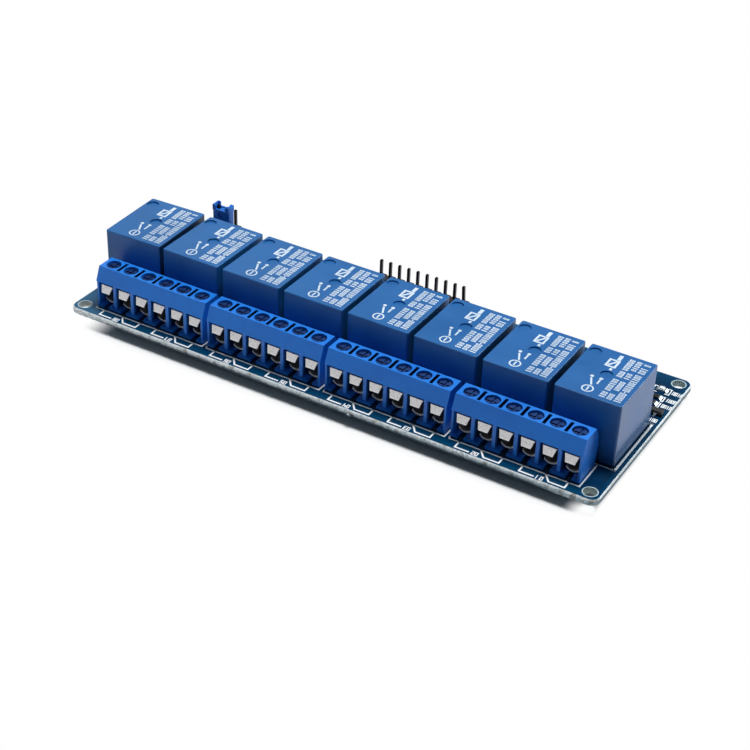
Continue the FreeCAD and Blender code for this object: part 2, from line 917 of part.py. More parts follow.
def build_headers():
    input_strip = moved(header_strip(input_pin_count), input_header_shift, header_row_y, board_top)
    save("input_header_strip", [input_strip])
    straight = [
        moved(header_pin(input_pin_height), x, header_row_y, board_top)
        for x in input_pin_places()[:-1]
    ]
    bent = moved(bent_header_pin(input_pin_height), input_pin_places()[-1], header_row_y, board_top)
    save("input_header_pins", straight + [bent])
    places = power_pin_places()
    middle = (places[0] + places[-1]) / 2
    save("power_header_strip", [moved(header_strip(power_pin_count), middle, header_row_y, board_top)])
    save(
        "power_header_pins",
        [moved(header_pin(power_pin_height), x, header_row_y, board_top) for x in places],
    )
    jumper_x = (places[0] + places[1]) / 2
    save("jumper_cap", [moved(jumper_cap(), jumper_x, header_row_y, board_top)])
    save("jumper_contact", [moved(jumper_contact(), jumper_x, header_row_y, board_top)])


def build_small_parts():
    optocoupler = moulded_body(
        optocoupler_width, optocoupler_depth, body_lift, body_lift + optocoupler_height
    )
    transistor = moulded_body(
        transistor_length, transistor_width, body_lift, body_lift + transistor_height
    )
    diode = moulded_body(diode_length, diode_width, body_lift, body_lift + diode_height)
    opto_row = optocoupler_row()
    save("optocouplers", at_every_channel([optocoupler], optocoupler_shift, opto_row))
    save("transistors", at_every_channel([transistor], transistor_shift, transistor_row))
    save("diodes", at_every_channel([diode], diode_shift, diode_row))
    resistors = []
    for shift, row in resistor_places:
        resistors += at_every_channel([chip_body(chip_height)], shift, row)
    save("resistors", resistors)
    save("leds", at_every_channel([led_body()], chip_shift, led_row))
    leads = at_every_channel(optocoupler_leads(), optocoupler_shift, opto_row)
    leads += at_every_channel(transistor_leads(), transistor_shift, transistor_row)
    leads += at_every_channel(diode_leads(), diode_shift, diode_row)
    for shift, row in chip_places:
        leads += at_every_channel(chip_caps(chip_height), shift, row)
    save("component_leads", leads)


def build_board():
    pins = through_pins()
    save("circuit_board", [circuit_board(pins)])
    save("solder_joints", solder_joints(pins))


os.makedirs("parts", exist_ok=True)
build_board()
build_relays()
build_terminals()
build_headers()
build_small_parts()
print("board", round(board_length, 2), "x", round(board_width, 2), "mm")
print("hinge line, from the relay's middle", round(yoke_back, 3), round(hinge_height, 3))
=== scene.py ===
# %% [markdown]
# An eight channel relay module, dressed for the camera.
# The construction is a finished set of solids: board, relays, screw terminals, headers and chips.
# This lesson adds what the solids don't have: a camera, light, finishes, ink, tracks and a rough edge.
# Every length below is in millimetres and becomes metres through one value, mm.

# %% Load the frame
import math
import random
import bmesh
import bpy
from mathutils import Matrix, Vector, noise


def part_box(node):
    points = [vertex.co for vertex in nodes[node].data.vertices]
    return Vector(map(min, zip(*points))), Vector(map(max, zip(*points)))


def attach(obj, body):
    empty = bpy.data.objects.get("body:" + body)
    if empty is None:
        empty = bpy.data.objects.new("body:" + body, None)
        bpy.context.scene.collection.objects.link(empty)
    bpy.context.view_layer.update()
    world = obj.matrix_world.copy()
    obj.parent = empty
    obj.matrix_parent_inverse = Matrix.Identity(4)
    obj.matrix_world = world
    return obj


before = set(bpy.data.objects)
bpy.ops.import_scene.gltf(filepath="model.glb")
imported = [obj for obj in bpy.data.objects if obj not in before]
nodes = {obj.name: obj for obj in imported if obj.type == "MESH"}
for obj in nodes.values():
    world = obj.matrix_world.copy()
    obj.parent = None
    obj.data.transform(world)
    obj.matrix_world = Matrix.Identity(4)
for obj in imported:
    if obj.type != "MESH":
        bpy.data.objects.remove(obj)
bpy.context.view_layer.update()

mm = 0.001

# %% [markdown]
# Places on the real module repeat: eight relays in a row, four terminal blocks, six ways in each.
# They could be typed in one by one, but the frame already knows the box of each piece, so the script asks.

# %% Places of the relays, the terminal blocks and the board
channel_count = 8
block_count = 4
ways_per_block = 6
terminal_pitch = 5.08


def low_and_high(node):
    low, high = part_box(node)
    return low / mm, high / mm


def middle_of(node):
    low, high = low_and_high(node)
    return (low + high) / 2


relay_centres = [middle_of(f"relay_cover_{number}") for number in range(1, channel_count + 1)]
block_centres = [middle_of(f"terminal_housing_{number}") for number in range(1, block_count + 1)]
board_low, board_high = low_and_high("circuit_board")
relay_low, relay_high = low_and_high("relay_cover_2")
block_low, block_high = low_and_high("terminal_housing_1")
board_top = board_high.z
relay_top = relay_high.z
relay_yaw = [math.radians(2.0)] + [0.0] * (channel_count - 1)
print("board top", round(board_top, 2), "relay top", round(relay_top, 2))

# %% [markdown]
# The photograph was taken from the front right and above, with a long lens. A camera could be aimed by
# eye, but a fit to sixty corners of the object gives its aim, turn, height, roll, distance and lens.

# %% Camera
camera_aim = Vector((0.4, 0.2, 8.8))
camera_azimuth = math.radians(29.817)
camera_elevation = math.radians(33.739)
camera_roll = math.radians(2.198)
camera_distance = 384.658
camera_slide = (-0.419, -11.485)
camera_lens = 80.376
nearest_seen = 10
farthest_seen = 20000


def into_scene(name, data):
    thing = bpy.data.objects.new(name, data)
    bpy.context.scene.collection.objects.link(thing)
    return thing


lean = math.cos(camera_elevation)
rise = math.sin(camera_elevation)
back = Vector((math.sin(camera_azimuth) * lean, -math.cos(camera_azimuth) * lean, rise))
flat = Vector((math.cos(camera_azimuth), math.sin(camera_azimuth), 0))
right = flat * math.cos(camera_roll) + back.cross(flat) * math.sin(camera_roll)
upward = back.cross(right)
camera_data = bpy.data.cameras.new("camera")
camera_data.lens = camera_lens
camera_data.clip_start = nearest_seen * mm
camera_data.clip_end = farthest_seen * mm
camera = into_scene("camera", camera_data)
camera_turn = Matrix((right, upward, back)).transposed().to_4x4()
camera_place = camera_aim + right * camera_slide[0] + upward * camera_slide[1] + back * camera_distance
camera.matrix_world = Matrix.Translation(camera_place * mm) @ camera_turn
bpy.context.scene.camera = camera
bpy.context.scene.view_settings.view_transform = "Standard"
print("camera at", [round(value, 1) for value in camera_place])

# %% [markdown]
# A finish is a small net of shader nodes. The same few steps come again in each: place a node, feed its
# sockets, mix, multiply, compare. Short helpers for those steps keep each finish readable.

# %% Helpers for shader nodes


def feed(tree, socket, value):
    if isinstance(value, bpy.types.NodeSocket):
        tree.links.new(value, socket)
    else:
        socket.default_value = value


def add(tree, kind, sockets=None, **settings):
    node = tree.nodes.new(kind)
    for name, value in settings.items():
        setattr(node, name, value)
    for name, value in (sockets or {}).items():
        feed(tree, node.inputs[name], value)
    return node


def ramp(tree, source, stops):
    node = add(tree, "ShaderNodeValToRGB", {"Fac": source})
    points = node.color_ramp.elements
    while len(points) < len(stops):
        points.new(0.5)
    for point, (position, colour) in zip(points, stops):
        point.position = position
        point.color = (*colour, 1)
    return node.outputs["Color"]


def spread(tree, source, from_low, from_high, to_low=0.0, to_high=1.0, **settings):
    names = ("Value", "From Min", "From Max", "To Min", "To Max")
    values = dict(zip(names, (source, from_low, from_high, to_low, to_high)))
    return add(tree, "ShaderNodeMapRange", values, **settings).outputs["Result"]


def fade(tree, source, ends, to_low=0.0, to_high=1.0):
    return spread(tree, source, ends[0] * mm, ends[1] * mm, to_low, to_high)


def maths(tree, operation, *values):
    node = add(tree, "ShaderNodeMath", dict(enumerate(values)), operation=operation)
    return node.outputs["Value"]


def product(tree, first, *others):
    for value in others:
        first = maths(tree, "MULTIPLY", first, value)
    return first


def below(tree, value, limit):
    return maths(tree, "LESS_THAN", value, limit)


def above(tree, value, limit):
    return maths(tree, "GREATER_THAN", value, limit)


def layer(tree, share, under, over):
    node = add(tree, "ShaderNodeMix", {0: share}, data_type="RGBA")
    for index, value in ((6, under), (7, over)):
        feed(tree, node.inputs[index], (*value, 1) if isinstance(value, tuple) else value)
    return node.outputs[2]


def clouds(tree, place, scale, detail, **more):
    values = {"Vector": place, "Scale": scale, "Detail": detail, **more}
    return add(tree, "ShaderNodeTexNoise", values).outputs["Fac"]


def split(tree, vector):
    return add(tree, "ShaderNodeSeparateXYZ", {"Vector": vector}).outputs


def normal_of(tree):
    return tree.nodes.new("ShaderNodeNewGeometry").outputs["Normal"]


def ray_kinds(tree):
    return tree.nodes.new("ShaderNodeLightPath").outputs


print("helpers ready")

# %% Helpers that open and close a finish


def start_finish(name, **constants):
    material = bpy.data.materials.new(name)
    material.use_nodes = True
    tree = material.node_tree
    shader = tree.nodes["Principled BSDF"]
    for socket, value in constants.items():
        shader.inputs[socket.replace("_", " ")].default_value = value
    place = tree.nodes.new("ShaderNodeTexCoord").outputs["Object"]
    return material, tree, shader, place


def finish_with(tree, shader, colour, roughness, height, bump=0.2, depth=0.02):
    values = {"Strength": bump, "Distance": depth * mm, "Height": height}
    normal = add(tree, "ShaderNodeBump", values).outputs["Normal"]
    for name, value in {"Base Color": colour, "Roughness": roughness, "Normal": normal}.items():
        feed(tree, shader.inputs[name], value)


print("finishes can start")

# %% [markdown]
# Four effects turn up on many surfaces: the grain of moulded plastic, the streaks of rolled metal, specks,
# and dust on what faces up. Each could be drawn again in every material, but a node group is built once
# and takes its own numbers in each finish.

# %% Helpers that open, close and use a node group


def start_group(name, **inputs):
    group = bpy.data.node_groups.new(name, "ShaderNodeTree")
    for label, value in {"Place": (0.0, 0.0, 0.0), **inputs}.items():
        kind = "NodeSocketVector" if isinstance(value, tuple) else "NodeSocketFloat"
        socket = group.interface.new_socket(name=label, in_out="INPUT", socket_type=kind)
        socket.default_value = value
    return group, group.nodes.new("NodeGroupInput").outputs


def close_group(group, **results):
    for label in results:
        group.interface.new_socket(name=label, in_out="OUTPUT", socket_type="NodeSocketFloat")
    leave = group.nodes.new("NodeGroupOutput").inputs
    for label, value in results.items():
        feed(group, leave[label], value)
    print(group.name, len(group.nodes), "nodes")
    return group


def use_group(tree, group, **sockets):
    return add(tree, "ShaderNodeGroup", sockets, node_tree=group).outputs


print("groups can start")

# %% Grain of a moulded surface
grain_share = 0.35
tree, entry = start_group("moulded_grain", Grain=4000.0, Cloud=120.0)
cloud = clouds(tree, entry["Place"], entry["Cloud"], 4.0)
grain = clouds(tree, entry["Place"], entry["Grain"], 2.0)
mottle = maths(tree, "MULTIPLY_ADD", grain, grain_share, spread(tree, cloud, 0.3, 0.7))
moulded = close_group(tree, Mottle=mottle, Height=grain)

# %% Streaks of rolled or drawn metal
tree, entry = start_group("rolled_metal", Stretch=(1.0, 1.0, 1.0), Lines=3000.0)
drawn_out = {0: entry["Place"], 1: entry["Stretch"]}
stretched = add(tree, "ShaderNodeVectorMath", drawn_out, operation="MULTIPLY")
lines = clouds(tree, stretched.outputs[0], entry["Lines"], 3.0)
rolled = close_group(tree, Streak=spread(tree, lines, 0.35, 0.65), Height=lines)

# %% Scattered specks
speck_blur = 0.08
tree, entry = start_group("scattered_specks", Size=2000.0, Cover=0.25)
dots = add(tree, "ShaderNodeTexVoronoi", {"Vector": entry["Place"], "Scale": entry["Size"]})
patch = clouds(tree, entry["Place"], entry["Size"], 2.0)
chance = maths(tree, "MULTIPLY", dots.outputs["Distance"], patch)
inside = maths(tree, "SUBTRACT", entry["Cover"], chance)
specked = close_group(tree, Speck=spread(tree, inside, 0.0, speck_blur))

# %% Dust that settles on what faces up
tree, entry = start_group("settled_dust", Facing=(0.0, 0.0, 1.0), Amount=0.1)
level = spread(tree, split(tree, entry["Facing"])["Z"], 0.6, 1.0)
drift = clouds(tree, entry["Place"], 260.0, 6.0)
clumps = spread(tree, drift, 0.45, 0.75)
settled = close_group(tree, Dust=product(tree, level, clumps, entry["Amount"]))

# %% [markdown]
# Nearly every visible moulding is blue plastic: the relay cases are satin and greyer, the terminal blocks
# brighter and glossier, the jumper cap deeper. One function makes them all, from two tones, a roughness
# and a grain, so they stay one family and still differ. The relay cases are also polished on their ends.

# %% Moulded plastics
dust_tone = (0.45, 0.52, 0.62)
painted_shade_share = 0.14


def plastic(
    name, deep, pale, roughness, grain=4000.0, bump=0.25, dust=0.01, painted_shade=None, polish=0.0, **constants
):
    material, tree, shader, place = start_finish(name, **constants)
    facing = normal_of(tree)
    surface = use_group(tree, moulded, Place=place, Grain=grain)
    tones = ramp(tree, surface["Mottle"], [(0.2, deep), (1.0, pale)])
    powder = use_group(tree, settled, Place=place, Facing=facing, Amount=dust)["Dust"]
    colour = layer(tree, powder, tones, dust_tone)
    # Painted shade: the plastic turns darker inside the mask.
    if painted_shade:
        colour = layer(tree, painted_shade(tree, place), colour, tuple(value * painted_shade_share for value in deep))
    if polish:
        sideways = maths(tree, "ABSOLUTE", split(tree, facing)["X"])
        feed(tree, shader.inputs["Coat Weight"], spread(tree, sideways, 0.7, 0.9, 0.0, polish))
    rough = spread(tree, surface["Mottle"], 0.0, 1.3, roughness - 0.04, roughness + 0.06)
    finish_with(tree, shader, colour, rough, surface["Height"], bump)
    return material


print("plastic ready")

# %% [markdown]
# Little light reaches the mouths of the terminals, the slots over their screws, the gap beside the first
# relay, the left walls of the others and the feet of all. The lamps alone leave these paler than in the
# photograph, so masks paint shade into the plastic there. They are boxes in space, worked out from the
# pieces.

# %% Painted shade where the terminals and the relays are dark
mouth_front = (0.45, 1.5)
mouth_back = 1.2
mouth_floor = 0.75
mouth_top = 6.70
end_wall = 0.6
slot_half = 0.44
slot_depth = 2.1
slot_turn = 0.4
skin = 0.04
gap_side = 3.0
gap_turn = 0.8
gap_share = 0.85
gap_foot = (5.5, 1.0)
foot_share = 0.5


def in_mouth(tree, place):
    parts = split(tree, place)
    step = (block_centres[1].x - block_centres[0].x) * mm
    from_first = maths(tree, "SUBTRACT", parts["X"], block_centres[0].x * mm)
    within = maths(tree, "WRAP", from_first, step / 2, -step / 2)
    reach = ((block_high.x - block_low.x) / 2 - end_wall) * mm
    between_ends = below(tree, maths(tree, "ABSOLUTE", within), reach)
    mouth = product(
        tree,
        fade(tree, parts["Y"], [block_low.y + depth for depth in mouth_front]),
        below(tree, parts["Y"], (block_high.y - mouth_back) * mm),
        below(tree, parts["Z"], (board_top + mouth_top) * mm),
        above(tree, parts["Z"], (board_top + mouth_floor) * mm),
    )
    half_way = terminal_pitch * mm / 2
    from_slot = maths(tree, "ABSOLUTE", maths(tree, "WRAP", within, half_way, -half_way))
    forward = maths(tree, "ABSOLUTE", split(tree, normal_of(tree))["Y"])
    slot = product(
        tree,
        below(tree, from_slot, slot_half * mm),
        below(tree, forward, slot_turn),
        below(tree, parts["Z"], (block_high.z - skin) * mm),
        above(tree, parts["Z"], (block_high.z - slot_depth) * mm),
    )
    return product(tree, maths(tree, "MAXIMUM", mouth, slot), between_ends)


def in_gap(tree, place):
    turned = split(tree, normal_of(tree))["X"]
    parts = split(tree, place)
    inner_right = below(tree, parts["X"], (relay_high.x - gap_side) * mm)
    inner_left = above(tree, parts["X"], (relay_low.x + gap_side) * mm)
    rights = product(tree, above(tree, turned, gap_turn), inner_right)
    lefts = product(tree, below(tree, turned, -gap_turn), inner_left)
    between = product(tree, maths(tree, "ADD", rights, lefts), gap_share)
    foot = fade(tree, parts["Z"], [board_top + height for height in gap_foot], 0.0, foot_share)
    return maths(tree, "MAXIMUM", between, foot)


print("dark places ready")

# %% The plastics
relay_deep = (0.008, 0.108, 0.335)
relay_pale = (0.011, 0.128, 0.390)
relay_shine = {"polish": 0.31, "Coat_Roughness": 0.12, "Specular_IOR_Level": 0.42}
relay_blue = plastic("relay_blue", relay_deep, relay_pale, 0.40, painted_shade=in_gap, **relay_shine)
relay_base_blue = plastic("relay_base_blue", (0.010, 0.060, 0.200), (0.015, 0.080, 0.250), 0.5)
terminal_deep = (0.010, 0.188, 0.735)
terminal_pale = (0.014, 0.228, 0.840)
terminal_blue = plastic("terminal_blue", terminal_deep, terminal_pale, 0.36, painted_shade=in_mouth)
jumper_deep = (0.006, 0.120, 0.500)
jumper_pale = (0.010, 0.160, 0.640)
jumper_blue = plastic("jumper_blue", jumper_deep, jumper_pale, 0.4, Specular_IOR_Level=0.3)
header_black = plastic("header_black", (0.006, 0.006, 0.007), (0.014, 0.014, 0.016), 0.45)
chip_black = plastic("chip_black", (0.008, 0.008, 0.009), (0.020, 0.020, 0.021), 0.55, grain=9000.0, bump=0.4)
chip_glaze = plastic("chip_glaze", (0.010, 0.010, 0.011), (0.018, 0.018, 0.020), 0.3)
bobbin_black = plastic("bobbin_black", (0.02, 0.02, 0.022), (0.035, 0.035, 0.038), 0.5)
print("materials", len(bpy.data.materials))

# %% [markdown]
# The metal parts are small, yet they carry the highlights: satin plated clamps, zinc screws down their
# holes, tinned leads and solder. Streaks and specks keep them from looking like mirrors. Their colour sits
# in the metal, so Metallic is one. The screws are painted dark blue as painted shade of their holes.
# The clamps' lips end in a painted highlight along their lower edge, which is a mask by height.

# %% Metals
lip_height = 1.7
highlight_band = 0.28
lip_reach = 1.4
highlight_share = 0.8
highlight_tone = (1.0, 0.99, 0.97)
speck_size = 2600.0
speck_share = 0.6
speck_tone = 0.45
even = (1.0, 1.0, 1.0)


def metal(name, deep, pale, roughness, stretch=(1.0, 1.0, 8.0), lines=2500.0, cover=0.0, bump=0.2, highlight=None):
    material, tree, shader, place = start_finish(name, Metallic=1.0)
    sheet = use_group(tree, rolled, Place=place, Stretch=stretch, Lines=lines)
    tones = ramp(tree, sheet["Streak"], [(0.0, deep), (1.0, pale)])
    specks = use_group(tree, specked, Place=place, Size=speck_size, Cover=cover)["Speck"]
    dull = tuple(value * speck_tone for value in deep)
    colour = layer(tree, product(tree, specks, speck_share), tones, dull)
    # Painted highlight laid over the metal's own colour.
    if highlight:
        colour = layer(tree, highlight(tree, place), colour, highlight_tone)
    rough = spread(tree, sheet["Streak"], 0.0, 1.0, roughness - 0.05, roughness + 0.08)
    finish_with(tree, shader, colour, rough, sheet["Height"], bump)
    return material


# Painted highlight: a lighter band along the lower edge of each lip, near the front.
def lip_highlight(tree, place):
    parts = split(tree, place)
    tip = low_and_high("wire_clamps_1")[1].z - lip_height
    low_end = fade(tree, parts["Z"], (tip, tip + highlight_band), highlight_share, 0.0)
    return product(tree, low_end, below(tree, parts["Y"], (block_low.y + lip_reach) * mm))


clamp_satin = metal("clamp_satin", (0.70, 0.65, 0.64), (0.92, 0.87, 0.86), 0.5, cover=0.16, highlight=lip_highlight)
# The screws' dark blue is painted shade: the shade down their holes, tinted by the housing.
screw_painted_shade = metal("screw_painted_shade", (0.018, 0.048, 0.165), (0.036, 0.080, 0.240), 0.66, even)
steel_plated = metal("steel_plated", (0.48, 0.48, 0.46), (0.62, 0.62, 0.60), 0.32)
contact_copper = metal("contact_copper", (0.60, 0.40, 0.22), (0.78, 0.56, 0.34), 0.3)
pin_dark = metal("pin_dark", (0.03, 0.03, 0.035), (0.06, 0.06, 0.07), 0.34)
lead_tin = metal("lead_tin", (0.50, 0.50, 0.50), (0.76, 0.76, 0.75), 0.30, even, 1800.0)
solder_bright = metal("solder_bright", (0.58, 0.58, 0.58), (0.80, 0.80, 0.79), 0.22, even, 900.0)
print("materials", len(bpy.data.materials))

# %% Troughs under the clamps: dull dark sheet, with a painted highlight on the faces turned to the front
trough_deep = (0.300, 0.240, 0.200)
trough_pale = (0.450, 0.380, 0.330)
highlight_deep = (0.82, 0.79, 0.76)
highlight_pale = (1.0, 0.97, 0.94)
trough_tin, tree, shader, place = start_finish("trough_tin", Metallic=0.6)
sheet = use_group(tree, rolled, Place=place, Stretch=(1.0, 6.0, 1.0), Lines=2500.0)
# Painted highlight: faces turned to the front take the pale tones.
front_highlight = spread(tree, split(tree, normal_of(tree))["Y"], -0.75, -0.9)
inside = ramp(tree, sheet["Streak"], [(0.0, trough_deep), (1.0, trough_pale)])
edge = ramp(tree, sheet["Streak"], [(0.0, highlight_deep), (1.0, highlight_pale)])
rough = spread(tree, sheet["Streak"], 0.0, 1.0, 0.4, 0.6)
finish_with(tree, shader, layer(tree, front_highlight, inside, edge), rough, sheet["Height"])
print(trough_tin.name)

# %% [markdown]
# A relay's coil is thousands of turns of enamelled wire. Real turns would be millions of faces that
# nobody sees without breaking the case, so a band pattern along the coil's height stands for them.

# %% Enamelled winding
winding_copper, tree, shader, place = start_finish("winding_copper", Metallic=1.0)
wave = {"Vector": place, "Scale": 1250.0, "Distortion": 0.3}
turns = add(tree, "ShaderNodeTexWave", wave, bands_direction="Z").outputs["Fac"]
tones = ramp(tree, turns, [(0.0, (0.22, 0.07, 0.03)), (1.0, (0.62, 0.27, 0.12))])
rough = spread(tree, turns, 0.0, 1.0, 0.45, 0.25)
finish_with(tree, shader, tones, rough, turns, 0.6, 0.05)
print(winding_copper.name)

# %% [markdown]
# The board is glass cloth in resin under a teal solder mask. The mask is glossy on top, and every cut
# edge and drilled wall shows the pale bare laminate. One material does both: the way the surface faces
# chooses mask or laminate, so the holes get their pale walls without any selecting by hand.
# The lower half of the outline is painted shade, and less so near the front corners. On the two ends the
# shade reaches higher, and the laminate above it is painted paler as light.

# %% Bare laminate: where the outline and the two ends are
outer_band = 0.9
corner_length = 2.0


def insets(tree, parts):
    ends = ((parts["X"], board_high.x), (parts["Y"], board_high.y))
    return [maths(tree, "SUBTRACT", reach * mm, maths(tree, "ABSOLUTE", part)) for part, reach in ends]


tree, entry = start_group("bare_laminate")
parts = split(tree, entry["Place"])
inset_x, inset_y = insets(tree, parts)
on_outline = below(tree, maths(tree, "MINIMUM", inset_x, inset_y), outer_band * mm)
past_corner = above(tree, parts["Y"], (board_low.y + corner_length) * mm)
on_side = product(tree, below(tree, inset_x, outer_band * mm), past_corner)
print(tree.name, len(tree.nodes), "nodes so far")

# %% Bare laminate: fibres, stains, painted light and painted shade
painted_shade_rise = (board_low.z + 0.30, board_low.z + 0.75)
shade_wander = 0.5
shade_ends = (54.0, 62.0)
least_shade = 0.15
side_rise = 0.48
side_shade = 0.80
side_light = 0.80
side_calm = 0.8
stain_corner = (56.0, 66.0)
stain_extra = 0.16
fibres = clouds(tree, entry["Place"], 1500.0, 5.0, Roughness=0.7)
patches = clouds(tree, entry["Place"], 620.0, 4.0)
fibre = spread(tree, fibres, 0.32, 0.68)
# Painted light: the fibres on the two ends are paler.
lit_fibre = maths(tree, "ADD", fibre, product(tree, on_side, side_light))
corner = fade(tree, parts["X"], stain_corner, 0.0, stain_extra)
stain = spread(tree, maths(tree, "ADD", patches, corner), 0.58, 0.7)
calm = maths(tree, "SUBTRACT", 1.0, product(tree, on_side, side_calm))
# Painted shade: the lower part of the outline turns dark below a wandering line.
wander = product(tree, patches, shade_wander * mm)
sunk = product(tree, on_side, side_rise * mm)
level = maths(tree, "SUBTRACT", maths(tree, "SUBTRACT", parts["Z"], wander), sunk)
dark = fade(tree, level, painted_shade_rise, 1.0, 0.0)
shade_off_corners = fade(tree, maths(tree, "ABSOLUTE", parts["X"]), shade_ends, 1.0, least_shade)
kept = maths(tree, "MAXIMUM", shade_off_corners, product(tree, on_side, side_shade))
laminate = close_group(
    tree,
    Fibre=lit_fibre,
    Stain=product(tree, stain, calm, on_outline),
    Soot=product(tree, dark, on_outline, kept),
    Drilled=maths(tree, "SUBTRACT", 1.0, on_outline),
    Height=fibres,
)

# %% Colours of the bare laminate, and the finish of the snapped front edge
glass_deep = (0.52, 0.60, 0.60)
glass_mid = (0.86, 0.91, 0.91)
glass_pale = (0.97, 0.98, 0.98)
laminate_layers = {
    "Stain": (0.75, (0.36, 0.34, 0.27)),
    "Drilled": (0.6, (0.52, 0.52, 0.44)),
    # painted shade on the lower outline
    "Soot": (0.92, (0.02, 0.05, 0.08)),
}


def laminate_colour(tree, place):
    edge = use_group(tree, laminate, Place=place)
    colour = ramp(tree, edge["Fibre"], [(0.0, glass_deep), (0.45, glass_mid), (1.0, glass_pale)])
    for name, (share, tone) in laminate_layers.items():
        colour = layer(tree, product(tree, edge[name], share), colour, tone)
    return colour, edge["Height"]


bare_edge, tree, shader, place = start_finish("bare_edge", Specular_IOR_Level=0.3)
colour, height = laminate_colour(tree, place)
finish_with(tree, shader, colour, spread(tree, height, 0.0, 1.0, 0.7, 0.95), height, 0.8, 0.12)
print(bare_edge.name)

# %% The solder mask, its paler margins and a painted sheen at the left end
mask_deep = (0.0003, 0.017, 0.056)
mask_pale = (0.0006, 0.029, 0.080)
mask_bare = (0.0010, 0.054, 0.130)
mask_sheen = (0.016, 0.105, 0.220)
copper_margin = (0.4, 4.6)
margin_share = 0.85
end_narrowing = 3.0
sheen_end = (-64.0, -54.0)
sheen_share = 0.75
board_dust = (0.5, 0.55, 0.6)
sheen = (0.45, 0.80, 1.0, 1.0)
board_teal, tree, shader, place = start_finish("board_teal", Specular_IOR_Level=0.28, Specular_Tint=sheen)
facing = normal_of(tree)
surface = use_group(tree, moulded, Place=place, Grain=1600.0, Cloud=45.0)
mask = ramp(tree, surface["Mottle"], [(0.25, mask_deep), (1.0, mask_pale)])
parts = split(tree, place)
inset_x, inset_y = insets(tree, parts)
margin = maths(tree, "MINIMUM", product(tree, inset_x, end_narrowing), inset_y)
mask = layer(tree, fade(tree, margin, copper_margin, margin_share, 0.0), mask, mask_bare)
# Painted reflection: the left end of the mask turns a paler teal.
mask = layer(tree, fade(tree, parts["X"], sheen_end, sheen_share, 0.0), mask, mask_sheen)
powder = use_group(tree, settled, Place=place, Facing=facing, Amount=0.01)["Dust"]
top_colour = layer(tree, powder, mask, board_dust)
print(board_teal.name, len(tree.nodes))

# %% The whole board: mask on the faces, laminate on the walls
edge_colour, edge_height = laminate_colour(tree, place)
upright = maths(tree, "ABSOLUTE", split(tree, facing)["Z"])
is_edge = spread(tree, upright, 0.9, 0.8)
colour = layer(tree, is_edge, top_colour, edge_colour)
rough = spread(tree, is_edge, 0.0, 1.0, 0.24, 0.85)
height = maths(tree, "ADD", surface["Height"], product(tree, edge_height, is_edge))
finish_with(tree, shader, colour, rough, height, 0.12, 0.03)
print(board_teal.name, len(tree.nodes))

# %% Tracks under the mask, ink, bare pads and the indicator's lens
track_teal = plastic("track_teal", (0.001, 0.060, 0.135), (0.0015, 0.082, 0.175), 0.24, 1600.0, 0.1)
ink_white = plastic("ink_white", (0.90, 0.93, 0.95), (0.98, 0.99, 1.00), 0.6, 3000.0, 0.3)
case_ink = plastic("case_ink", (0.54, 0.66, 0.80), (0.74, 0.83, 0.92), 0.5, 3000.0, 0.3)
pad_tin = plastic("pad_tin", (0.45, 0.61, 0.65), (0.62, 0.76, 0.80), 0.4, 1600.0)
lens_clear = plastic("lens_clear", (0.86, 0.88, 0.86), (0.97, 0.98, 0.96), 0.18, Coat_Weight=0.6)
print("materials", len(bpy.data.materials))

# %% [markdown]
# Each solid now takes its finish. The nodes are numbered where they repeat, so a table of plain names
# and a loop dress all of them. A node that the table doesn't know stops the script, so none is forgotten.

# %% Dress every node
finishes = {
    "circuit_board": board_teal,
    "solder_joints": solder_bright,
    "relay_cover": relay_blue,
    "relay_base": relay_base_blue,
    "relay_armature": steel_plated,
    "relay_magnets": steel_plated,
    "relay_bobbins": bobbin_black,
    "relay_windings": winding_copper,
    "relay_contacts": contact_copper,
    "relay_pins": lead_tin,
    "terminal_housing": terminal_blue,
    "terminal_screws": screw_painted_shade,
    "wire_clamps": clamp_satin,
    "terminal_pins": trough_tin,
    "input_header_strip": header_black,
    "input_header_pins": pin_dark,
    "power_header_strip": header_black,
    "power_header_pins": pin_dark,
    "jumper_cap": jumper_blue,
    "jumper_contact": lead_tin,
    "optocouplers": chip_black,
    "transistors": chip_black,
    "diodes": chip_black,
    "resistors": chip_glaze,
    "leds": lens_clear,
    "component_leads": lead_tin,
}
for name, node in nodes.items():
    finish = finishes[name.rstrip("_0123456789")]
    node.data.materials.clear()
    node.data.materials.append(finish)
print("dressed", len(nodes), "nodes of", len(finishes), "kinds")

# %% [markdown]
# Ink is a film a few hundredths of a millimetre thick. It could be an image, but then it would blur close
# up. Thin raised strips are sharp from any distance. Each strip follows a row of points with mitred
# corners, and such strips make every outline, figure and symbol.

# %% Helpers for thin flat shapes
line_width = 0.4
ink_height = 0.03
ink_sink = 0.01
disc_sides = 28


def path(mesh, points, width=line_width, bottom=board_top, height=ink_height, closed=False):
    places = [Vector(point) for point in points]
    count = len(places)
    legs = [(places[(i + 1) % count] - places[i]).normalized() for i in range(count)]
    stations = []
    for i, place in enumerate(places):
        before = legs[i - 1]
        after = legs[i]
        if not closed and i == 0:
            before = after
            place = place - after * width / 2
        if not closed and i == count - 1:
            after = before
            place = place + before * width / 2
        across = Vector((-before.y - after.y, before.x + after.x))
        across *= width / across.length_squared
        station = []
        for side, level in ((1, -ink_sink), (1, height), (-1, height), (-1, -ink_sink)):
            station.append(mesh.verts.new((*(place + across * side), bottom + level)))
        stations.append(station)
    for i in range(count if closed else count - 1):
        here, there = stations[i], stations[(i + 1) % count]
        for k in range(4):
            mesh.faces.new((here[k], here[(k + 1) % 4], there[(k + 1) % 4], there[k]))
    if not closed:
        mesh.faces.new(stations[0])
        mesh.faces.new(stations[-1])
    return [vert for station in stations for vert in station]


def outline(mesh, low, high, width, bottom=board_top):
    corners = [low, (high[0], low[1]), high, (low[0], high[1])]
    return path(mesh, corners, width, bottom, closed=True)


